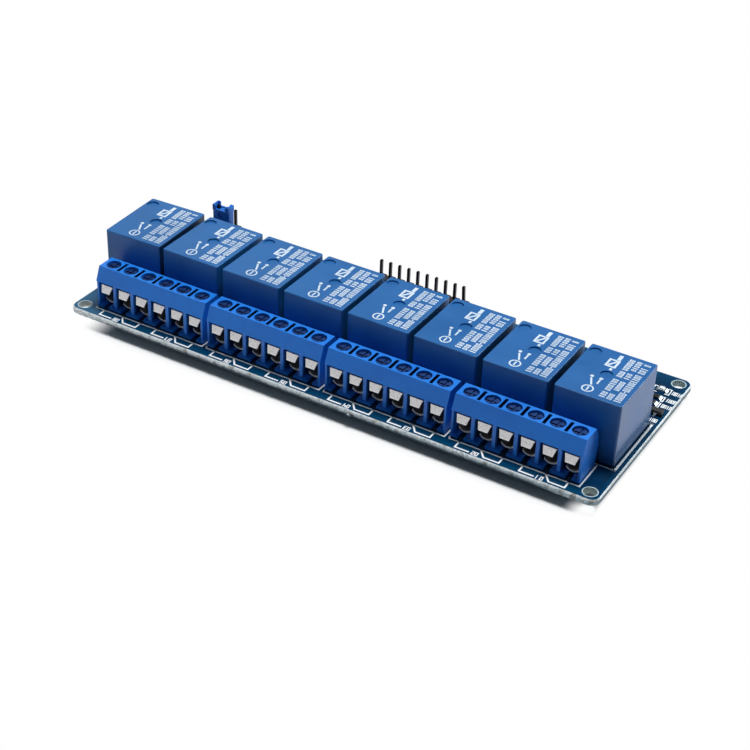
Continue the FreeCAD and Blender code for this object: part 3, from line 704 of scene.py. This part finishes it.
def disc(mesh, centre, radius, bottom=board_top, height=ink_height, inner=0.0):
    verts = []
    for reach in (radius, inner) if inner else (radius,):
        made = bmesh.ops.create_circle(mesh, cap_ends=not inner, segments=disc_sides, radius=reach)
        verts += made["verts"]
    if inner:
        bmesh.ops.bridge_loops(mesh, edges=list({edge for vert in verts for edge in vert.link_edges}))
    faces = list({face for vert in verts for face in vert.link_faces})
    lifted = bmesh.ops.extrude_face_region(mesh, geom=faces, use_keep_orig=True)
    new = [item for item in lifted["geom"] if isinstance(item, bmesh.types.BMVert)]
    bmesh.ops.translate(mesh, vec=(0, 0, height + ink_sink), verts=new)
    bmesh.ops.translate(mesh, vec=(centre[0], centre[1], bottom - ink_sink), verts=verts + new)


def turn_and_shift(mesh, verts, centre, turned):
    spin = Matrix.Rotation(turned, 4, "Z")
    shift = Matrix.Translation((centre[0], centre[1], 0))
    bmesh.ops.transform(mesh, matrix=shift @ spin, verts=verts)


def keep_piece(mesh, name, finish, body="module"):
    bmesh.ops.transform(mesh, matrix=Matrix.Scale(mm, 4), verts=mesh.verts)
    bmesh.ops.recalc_face_normals(mesh, faces=mesh.faces)
    data = bpy.data.meshes.new(name)
    mesh.to_mesh(data)
    mesh.free()
    data.materials.append(finish)
    piece = into_scene(name, data)
    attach(piece, body)
    print(name, len(data.polygons), "faces")


print("flat shapes ready")

# %% [markdown]
# Numbers on the board are plain figures. A text object would need a font and a conversion, and a few
# straight strokes are all that a figure this small can show.

# %% Figures made of straight strokes
figure_strokes = {
    0: [[(0, 0), (1, 0), (1, 2), (0, 2)]],
    1: [[(1, 0), (1, 2)]],
    2: [[(0, 2), (1, 2), (1, 1), (0, 1), (0, 0), (1, 0)]],
    3: [[(0, 2), (1, 2), (1, 0), (0, 0)], [(0.3, 1), (0.6, 1)]],
    4: [[(0, 2), (0, 1), (0.6, 1)], [(1, 0), (1, 2)]],
    5: [[(1, 2), (0, 2), (0, 1), (1, 1), (1, 0), (0, 0)]],
    6: [[(1, 2), (0, 2), (0, 0), (1, 0), (1, 1), (0.4, 1)]],
    7: [[(0, 2), (1, 2), (1, 0)]],
    8: [[(0, 0), (1, 0), (1, 2), (0, 2)], [(0.4, 1), (0.6, 1)]],
}
closed_figures = (0, 8)
figure_width = 0.5
figure_height = 1.1
figure_line = 0.24
stroke_drop = 0.006


def figure(mesh, value, centre, turned):
    made = []
    for order, stroke in enumerate(figure_strokes[value]):
        points = [((x - 0.5) * figure_width, (y - 1) * figure_height / 2) for x, y in stroke]
        closed = value in closed_figures and order == 0
        made += path(mesh, points, figure_line, board_top, ink_height - order * stroke_drop, closed)
    turn_and_shift(mesh, made, centre, turned)


print("figures", len(figure_strokes))

# %% [markdown]
# The front of the board carries an outline round each terminal block and, for each channel, the sign of
# a changeover contact: a bracket, a number, a slanted blade and a second bracket. The same few points
# serve all eight.

# %% Ink on the front strip
outline_shift = 0.43
outline_front = -23.25
hook_reach = (0.2, 0.3)
sign_front = -25.3
sign_reach = 5.25
sign_gap = 2.0
blade_run = 1.6
zero_place = -0.1
number_place = -0.95
figure_lift = 0.15
board_ink = bmesh.new()


def block_outline(mesh, centre_x):
    half = (block_high.x - block_low.x) / 2
    left = centre_x - half + outline_shift
    right = centre_x + half + outline_shift
    hook = (left - hook_reach[0], block_low.y - hook_reach[1])
    back = (right, block_high.y)
    path(mesh, [hook, (left, outline_front), (right, outline_front), back])


def contact_sign(mesh, x, number):
    left = x - sign_reach
    right = x + sign_reach
    path(mesh, [(left, outline_front), (left, sign_front), (x - sign_gap, sign_front)])
    path(mesh, [(x, outline_front), (x + blade_run, sign_front), (right, sign_front), (right, outline_front)])
    for place, value in ((zero_place, 0), (number_place, number)):
        figure(mesh, value, (x + place, sign_front + figure_lift), math.pi)


for index, centre in enumerate(block_centres):
    block_outline(board_ink, centre.x)
    for half in (0, 1):
        way_middle = (3 * half + 1 - (ways_per_block - 1) / 2) * terminal_pitch
        number = channel_count - (2 * index + half)
        contact_sign(board_ink, centre.x + way_middle + outline_shift, number)
print("front strip", len(board_ink.verts))

# %% [markdown]
# Behind the relays each channel has small parts with brackets and a short legend. The legends of the
# real board are words, so plain rows of small blocks take their place.

# %% Ink round the relays and the headers
relay_line = 0.5
relay_half = 8.3
relay_line_x = relay_centres[-1].x + relay_half
relay_line_left = relay_centres[0].x - 8.4
relay_line_front = relay_low.y - 0.7
relay_line_back = relay_high.y + 0.15
front_start = relay_centres[-1].x + 4.0
bold_start = relay_line_x - 1.1
header_gap = 0.35
header_line = 0.22
right_front = (relay_line_x, relay_line_front)
right_back = (relay_line_x, relay_line_back)
path(board_ink, [(relay_line_left, relay_line_back), right_back])
path(board_ink, [(front_start, relay_line_front), right_front])
bold = [(bold_start, relay_line_front), right_front, right_back, (bold_start, relay_line_back)]
path(board_ink, bold, relay_line)
for node in ("input_header_strip", "power_header_strip"):
    low, high = low_and_high(node)
    low = (low.x - header_gap, low.y - header_gap)
    high = (high.x + header_gap, high.y + header_gap)
    outline(board_ink, low, high, header_line)
print("outlines", len(board_ink.verts))

# %% Places of each channel's small parts
relay_row_middle = sum(centre.x for centre in relay_centres) / channel_count
led_row = middle_of("leds").y
chip_rows = [led_row - 6.0, led_row - 3.4]
diode_row = middle_of("diodes").y
transistor_row = middle_of("transistors").y
opto_row = middle_of("optocouplers").y
chip_shift = middle_of("leds").x - relay_row_middle
diode_shift = middle_of("diodes").x - relay_row_middle
opto_shift = middle_of("optocouplers").x - relay_row_middle
print("rows", [round(row, 2) for row in (led_row, diode_row, transistor_row, opto_row)])

# %% Ink for each channel's small parts
legend_pitch = 0.62
legend_half = (0.18, 0.6)
legend_line = 0.2
legend_kinds = [(0, 2, 1, 0), (1, 0, 0, 2), (2, 0, 1, 0), (0, 1, 2, 0)]
chip_legend = (2.6, 0.2)
led_legend = (2.75, 0.1)
transistor_legend = (1.75, -2.75)
bracket_line = 0.25
chip_bracket = (1.85, (0.45, 0.45), 0.95)
led_bracket = (2.0, (0.8, 1.1), 1.15)
diode_bracket = (3.1, (0.7, 0.7), 1.6)


def legend(mesh, x, y, shift, kinds):
    for order, kind in enumerate(kinds):
        place = x + shift[0] + order * legend_pitch
        low = (place - legend_half[0], y + shift[1] - legend_half[1])
        high = (place + legend_half[0], y + shift[1] + legend_half[1])
        if kind == 0:
            outline(mesh, low, high, legend_line)
        elif kind == 1:
            path(mesh, [(place, low[1]), (place, high[1])], legend_line)
        else:
            path(mesh, [low, (low[0], high[1]), high, (high[0], low[1])], legend_line)


def brackets(mesh, x, row, reach, tails, half):
    for side, tail in zip((1, -1), tails):
        outer = x + side * reach
        inner = outer - side * tail
        points = [(inner, row - half), (outer, row - half), (outer, row + half), (inner, row + half)]
        path(mesh, points, bracket_line)


for centre in relay_centres:
    x = centre.x + chip_shift
    for order, row in enumerate(chip_rows):
        brackets(board_ink, x, row, *chip_bracket)
        legend(board_ink, x, row, chip_legend, legend_kinds[order])
    brackets(board_ink, x, led_row, *led_bracket)
    legend(board_ink, x, led_row, led_legend, legend_kinds[2])
    legend(board_ink, x, transistor_row, transistor_legend, legend_kinds[3])
    brackets(board_ink, centre.x + diode_shift, diode_row, *diode_bracket)
keep_piece(board_ink, "board_ink", ink_white)

# %% [markdown]
# The relay cases are printed too. The real print holds names and ratings, so a coil sign, a contact sign
# and three rows of small plain blocks take their place, as dense as the real rows.

# %% Rows of small blocks on the relay cases
row_columns = [(2.5, 1.25), (4.15, 1.15), (5.95, 1.5)]
row_runs = [
    [(-8.8, -6.3), (-5.8, -0.8), (0.1, 2.6), (3.1, 7.9)],
    [(-8.7, -6.3), (-4.9, -1.0), (0.0, 2.7), (3.8, 8.0)],
    [(-8.8, -4.8), (-4.2, 3.0), (3.6, 6.2), (6.8, 8.0)],
]
block_step_y = 0.82
block_half = 0.19
case_line = 0.22
bar_line = 0.34
point_line = 0.3
point_ends = [(5.95, -4.55), (5.95, -4.45)]


def printed_block(mesh, kind, x, y, width):
    low = (x - width / 2 + case_line / 2, y - block_half)
    high = (x + width / 2 - case_line / 2, y + block_half)
    if kind == 0:
        outline(mesh, low, high, case_line, relay_top)
    elif kind == 1:
        path(mesh, [(low[0], y), (high[0], y)], bar_line, relay_top)
    else:
        path(mesh, [low, (high[0], low[1]), high, (low[0], high[1])], case_line, relay_top)


def printed_rows(mesh, kinds):
    for (x, width), runs in zip(row_columns, row_runs):
        for low, high in runs:
            count = max(1, round((high - low) / block_step_y))
            step = (high - low) / count
            for place in range(count):
                printed_block(mesh, kinds.choice((0, 0, 1, 2)), x, low + (place + 0.5) * step, width)
    path(mesh, point_ends, point_line, relay_top)


print("rows", len(row_columns))

# %% The two signs, and the ink of each case
print_seed = 7
print_shift = 0.3
coil_box = 0.5
coil_slash = 0.45
coil_ends = (0.85, 0.6)
ring_radii = (1.35, 1.02)
dot_radius = 0.42
blade_line = 0.42
tail_line = 0.4


def coil_sign(mesh):
    outline(mesh, (-1.75, 2.9), (0.3, 5.6), coil_box, relay_top)
    path(mesh, [(-1.2, 3.5), (-0.25, 5.0)], coil_slash, relay_top, ink_height - stroke_drop)
    path(mesh, [(-0.1, 6.45), (-0.1, 7.6)], coil_ends[0], relay_top)
    path(mesh, [(-0.1, 1.8), (-0.1, 2.0)], coil_ends[1], relay_top)


def contact_symbol(mesh):
    disc(mesh, (-1.2, -7.3), ring_radii[0], relay_top, inner=ring_radii[1])
    path(mesh, [(-1.2, -7.9), (-1.2, -6.7)], bar_line, relay_top)
    path(mesh, [(-1.2, -5.45), (-2.15, -3.35)], blade_line, relay_top)
    for x in (-2.35, -0.25):
        disc(mesh, (x, -2.5), dot_radius, relay_top)
    path(mesh, [(-0.25, -4.5), (-0.25, -3.2)], tail_line, relay_top)


for index, centre in enumerate(relay_centres):
    mesh = bmesh.new()
    printed_rows(mesh, random.Random(print_seed))
    coil_sign(mesh)
    contact_symbol(mesh)
    turn_and_shift(mesh, mesh.verts, (centre.x, centre.y + print_shift), relay_yaw[index])
    keep_piece(mesh, f"relay_ink_{index + 1}", case_ink)

# %% [markdown]
# Tracks are copper under the mask, seen as faint ridges. Behind the relays they join the small parts, and
# below the board wide ones carry the load from terminals to relays. Their ends could be typed in, but the
# solder joints already mark them: each joint is a loose island of one mesh, so they are looked up.

# %% Find the solder joints
weld_reach = 0.005


def island_centres(node):
    mesh = bmesh.new()
    mesh.from_mesh(node.data)
    mesh.transform(node.matrix_world)
    bmesh.ops.remove_doubles(mesh, verts=mesh.verts, dist=weld_reach * mm)
    waiting = set(mesh.verts)
    centres = []
    while waiting:
        front = [waiting.pop()]
        members = []
        while front:
            vert = front.pop()
            members.append(vert.co / mm)
            for edge in vert.link_edges:
                other = edge.other_vert(vert)
                if other in waiting:
                    waiting.discard(other)
                    front.append(other)
        across = [member.x for member in members]
        along = [member.y for member in members]
        centres.append(Vector(((min(across) + max(across)) / 2, (min(along) + max(along)) / 2)))
    mesh.free()
    return sorted(centres, key=lambda centre: (round(centre.x, 2), round(centre.y, 2)))


joints = island_centres(nodes["solder_joints"])
terminal_joints = [joint for joint in joints if joint.y < relay_low.y]
header_joints = [joint for joint in joints if joint.y > led_row and abs(joint.x) < board_high.x / 2]
relay_joints = [joint for joint in joints if relay_low.y < joint.y < relay_high.y + 1]

# %% Tracks below the board
track_height = 0.02
under_level = board_low.z - 0.01
pad_radius = 1.5
pad_hole = 0.3
pad_level = under_level - 0.01
load_line = 2.3
load_run = 0.8
coil_line = 0.9
coil_end = relay_high.y + 3.0
wire_line = 0.45
wire_end = relay_high.y + 4.0
wire_shift = 2.0
wire_row = 21.4
wire_step = 0.9
ways_per_channel = ways_per_block // 2
under_tracks = bmesh.new()


def elbow(start, end):
    turn_y = start.y + load_run
    side = abs(end.x - start.x)
    return [start, (start.x, turn_y), (end.x, turn_y + side), end]


for index, centre in enumerate(relay_centres):
    ways = terminal_joints[ways_per_channel * index : ways_per_channel * (index + 1)]
    own = [joint for joint in relay_joints if abs(joint.x - centre.x) < relay_half]
    own.sort(key=lambda joint: joint.y)
    contacts = sorted(own[:2], key=lambda joint: joint.x)
    rear = sorted(own[2:], key=lambda joint: abs(joint.x - centre.x))
    for way, target in zip(ways, (contacts[0], rear[0], contacts[1])):
        path(under_tracks, elbow(way, target), load_line, under_level, track_height)
    for coil in rear[1:]:
        path(under_tracks, [coil, (coil.x, coil_end)], coil_line, under_level, track_height)
    pin = header_joints[index + 1]
    level = wire_row - wire_step * min(index, channel_count - 1 - index)
    goal = centre.x + wire_shift
    wire = [pin, (pin.x, level), (goal, level), (goal, wire_end)]
    path(under_tracks, wire, wire_line, under_level, track_height)
keep_piece(under_tracks, "under_tracks", track_teal)
under_pads = bmesh.new()
for joint in joints:
    disc(under_pads, (joint.x, joint.y), pad_radius, pad_level, track_height, inner=pad_hole)
keep_piece(under_pads, "under_pads", pad_tin)

# %% Tracks behind the relays
thin_line = 0.5
feed_line = 0.7
via_radius = 0.6
via_hole = 0.25
supply_line = 0.8
supply_reach = 60.0
supply_row = board_high.y - 0.75
chip_pad = 1.2
lead_pad = 1.27
feed_shift = 4.2
top_tracks = bmesh.new()
for centre in relay_centres:
    chip = centre.x + chip_shift - chip_pad
    lead = centre.x + opto_shift + lead_pad
    led_wire = [(chip, led_row), (lead + 2.0, led_row), (lead, led_row + 2.0), (lead, opto_row + 4.8)]
    path(top_tracks, led_wire, thin_line, board_top, track_height)
    bend_x = chip - 1.0
    loop = [(chip, chip_rows[0]), (bend_x, chip_rows[0]), (bend_x, chip_rows[1]), (chip, chip_rows[1])]
    path(top_tracks, loop, thin_line, board_top, track_height)
    left = centre.x + opto_shift - feed_shift
    supply = [(left, relay_high.y + 1.2), (left, led_row + 1.0), (left + 2.9, led_row + 3.9)]
    path(top_tracks, supply, feed_line, board_top, track_height)
    disc(top_tracks, (left, relay_high.y + 0.9), via_radius, board_top, track_height, inner=via_hole)
rail = [(-supply_reach, supply_row), (supply_reach, supply_row)]
path(top_tracks, rail, supply_line, board_top, track_height)
keep_piece(top_tracks, "top_tracks", track_teal)

# %% [markdown]
# The corner holes have a bare tinned ring. A circle bridged to a smaller one and lifted a little makes it.

# %% Rings round the corner holes
hole_radius = 1.55
hole_inset = 2.67
ring_width = 0.2
rings = bmesh.new()
for x in (board_low.x + hole_inset, board_high.x - hole_inset):
    for y in (board_low.y + hole_inset, board_high.y - hole_inset):
        disc(rings, (x, y), hole_radius + ring_width, inner=hole_radius)
keep_piece(rings, "hole_rings", pad_tin)

# %% [markdown]
# The front edge was snapped from a larger panel, so it is ragged where the other edges are cut clean. A
# bump would leave a straight outline. A fine grid, pushed about by noise and thickened, breaks it too.

# %% Snapped front edge
corner_radius = 2.2
edge_bevel = 0.3
edge_depth = edge_bevel + 0.1
edge_tuck = 0.02
edge_columns = 460
edge_rows = 6
rough_reach = 0.15
least_bite = 0.05
mean_bite = 0.45
coarse_scale = 1.1
fine_scale = 3.7
fine_share = 0.6
middle = (board_low.z + board_high.z) / 2
length = board_high.x - board_low.x - 2 * corner_radius
tall = board_high.z - board_low.z - edge_tuck
strip = bmesh.new()
bmesh.ops.create_grid(strip, x_segments=edge_columns, y_segments=edge_rows, size=0.5)
lay = Matrix.Translation((0, board_low.y, middle))
stand = Matrix.Rotation(math.pi / 2, 4, "X")
bmesh.ops.transform(strip, matrix=lay @ stand @ Matrix.Diagonal((length, tall, 1, 1)), verts=strip.verts)
for vert in strip.verts:
    jag = noise.noise(vert.co * coarse_scale) + fine_share * noise.noise(vert.co * fine_scale)
    slope = max(0.0, abs(vert.co.z - middle) - tall / 2 + edge_bevel)
    vert.co.y += slope - rough_reach * max(least_bite, mean_bite + jag)
thick = bmesh.ops.extrude_face_region(strip, geom=strip.faces[:], use_keep_orig=True)
backs = [item for item in thick["geom"] if isinstance(item, bmesh.types.BMVert)]
for vert in backs:
    vert.co.y = board_low.y + edge_depth
print("snapped edge", len(strip.verts))

# %% A crumb that still hangs on the edge
crumb_size = Matrix.Diagonal((0.9, 0.5, 0.35, 1))
crumb_place = Matrix.Translation((9.6, board_low.y - 0.3, board_low.z + 0.55))
crumb_turn = Matrix.Rotation(math.radians(25), 4, "Y") @ Matrix.Rotation(math.radians(20), 4, "Z")
crumb = bmesh.ops.create_cube(strip, size=1)["verts"]
bmesh.ops.transform(strip, matrix=crumb_place @ crumb_turn @ crumb_size, verts=crumb)
keep_piece(strip, "snapped_edge", bare_edge)

# %% [markdown]
# The object stands on a pale studio floor under one large soft lamp behind it, so the tops are bright and
# the fronts fall into shade. The backdrop's white belongs to the floor and the world as the camera and
# the reflections see them, and not to extra lamps, so the object keeps its colours. Close to the object
# the floor keeps its shade: least far at the right, and furthest at the left, as in the photograph.

# %% Floor, and how open each place of it is
floor_reach = 4000
shadow_reach = 3.6
right_edge = board_high.x - 2.0
right_reach = 1.7
left_edge = board_low.x + 12.0
left_reach = 8.4
corner_light = (61.0, 65.0)
corner_depth = (-21.0, -25.0)
corner_share = 0.85
floor_mesh = bmesh.new()
bmesh.ops.create_grid(floor_mesh, x_segments=1, y_segments=1, size=floor_reach * mm)
floor_data = bpy.data.meshes.new("floor")
floor_mesh.to_mesh(floor_data)
floor_mesh.free()
floor = into_scene("floor", floor_data)
floor_white = bpy.data.materials.new("floor_white")
floor_white.use_nodes = True
floor_data.materials.append(floor_white)
tree = floor_white.node_tree
tree.nodes.remove(tree.nodes["Principled BSDF"])
spot = split(tree, tree.nodes.new("ShaderNodeTexCoord").outputs["Object"])
from_middle = maths(tree, "ABSOLUTE", spot["Y"])
along = fade(tree, from_middle, (board_high.y, board_high.y + shadow_reach))
right_share = fade(tree, spot["X"], (right_edge, right_edge + right_reach))
left_share = fade(tree, spot["X"], (left_edge, left_edge - left_reach))
near_corner = fade(tree, spot["X"], corner_light, 0.0, corner_share)
corner = product(tree, near_corner, fade(tree, spot["Y"], corner_depth))
sideways = maths(tree, "MAXIMUM", maths(tree, "MAXIMUM", right_share, left_share), corner)
away = add(tree, "ShaderNodeCombineXYZ", {"X": sideways, "Y": along}).outputs[0]
distance = add(tree, "ShaderNodeVectorMath", {0: away}, operation="LENGTH").outputs["Value"]
open_floor = spread(tree, distance, 0.0, 1.0, interpolation_type="SMOOTHSTEP")
print("floor", len(tree.nodes))

# %% [markdown]
# The camera sees the open floor white, and so do reflections, but dimmer just beside the right end.
# Diffuse rays carry the floor's light up to the fronts. For them it is pale paint, and greyer towards the
# right, where the photograph's fronts are darker.

# %% White of the floor
gloss_reach = 3.5
least_gloss = 0.3
floor_pale = (0.93, 0.94, 0.95)
floor_grey = (0.42, 0.50, 0.56)


def seen_directly(tree):
    ray = ray_kinds(tree)
    looked = maths(tree, "MAXIMUM", ray["Is Camera Ray"], ray["Is Glossy Ray"])
    return maths(tree, "MAXIMUM", looked, ray["Is Transmission Ray"])


rays = ray_kinds(tree)
duller = fade(tree, spot["X"], (board_low.x, board_high.x))
shade = layer(tree, product(tree, rays["Is Diffuse Ray"], duller), floor_pale, floor_grey)
paint = add(tree, "ShaderNodeBsdfDiffuse", {"Color": shade})
haze = fade(tree, spot["X"], (right_edge, right_edge + gloss_reach), 1.0 - least_gloss, 0.0)
reflected = maths(tree, "SUBTRACT", 1.0, rays["Is Camera Ray"])
dimmed = product(tree, haze, above(tree, spot["X"], right_edge * mm), reflected)
lift = product(tree, seen_directly(tree), open_floor, maths(tree, "SUBTRACT", 1.0, dimmed))
glow = add(tree, "ShaderNodeEmission", {"Strength": 1.0})
both = add(tree, "ShaderNodeMixShader", {0: lift, 1: paint.outputs[0], 2: glow.outputs[0]})
feed(tree, tree.nodes["Material Output"].inputs["Surface"], both.outputs[0])
print(floor_white.name, len(tree.nodes))

# %% White of the world
room_light = 0.075
room_tint = (0.62, 0.83, 1.0)
mirror_tint = (0.86, 0.95, 1.0)
white = (1.0, 1.0, 1.0)
horizon = 0.10
zenith = 0.5
least_sky = 0.12
world = bpy.data.worlds.new("studio")
bpy.context.scene.world = world
world.use_nodes = True
tree = world.node_tree
sky = tree.nodes["Background"]
view = split(tree, tree.nodes.new("ShaderNodeTexCoord").outputs["Generated"])
sweep = spread(tree, view["Z"], horizon, zenith, 1.0, least_sky)
seen = seen_directly(tree)
brightness = add(tree, "ShaderNodeMix", {0: seen, 2: room_light, 3: sweep}).outputs[0]
tint = layer(tree, seen, room_tint, mirror_tint)
feed(tree, sky.inputs["Strength"], brightness)
feed(tree, sky.inputs["Color"], layer(tree, ray_kinds(tree)["Is Camera Ray"], tint, white))
print("world", len(tree.nodes))

# %% [markdown]
# One strong lamp above and behind makes the light. Three weaker cards only put a bluish sheen on the
# walls that it misses: at the far left, at the right end and at the front left.

# %% Lamps


def soft_lamp(name, place, aim, size, level, colour=white):
    data = bpy.data.lights.new(name, "AREA")
    data.color = colour
    data.shape = "RECTANGLE"
    data.size = size[0] * mm
    data.size_y = size[1] * mm
    towards = Vector(aim) - Vector(place)
    data.energy = level * math.pi**2 * (towards.length * mm) ** 2
    lamp = into_scene(name, data)
    lamp_turn = towards.to_track_quat("-Z", "Y").to_matrix().to_4x4()
    lamp.matrix_world = Matrix.Translation(Vector(place) * mm) @ lamp_turn
    print(name, round(data.energy, 2), "W")


soft_lamp("top_lamp", (25, 70, 395), (0, 0, 15), (130, 100), 1.03)
soft_lamp("left_card", (-190, 150, 150), (-60, 0, 15), (150, 110), 0.08, (0.7, 0.9, 1.0))
soft_lamp("right_card", (180, 160, 60), (62, 0, 14), (90, 70), 0.50, (0.8, 0.97, 1.0))
soft_lamp("front_card", (-190, -170, 130), (-60, -20, 8), (120, 90), 0.045, (0.85, 0.95, 1.0))
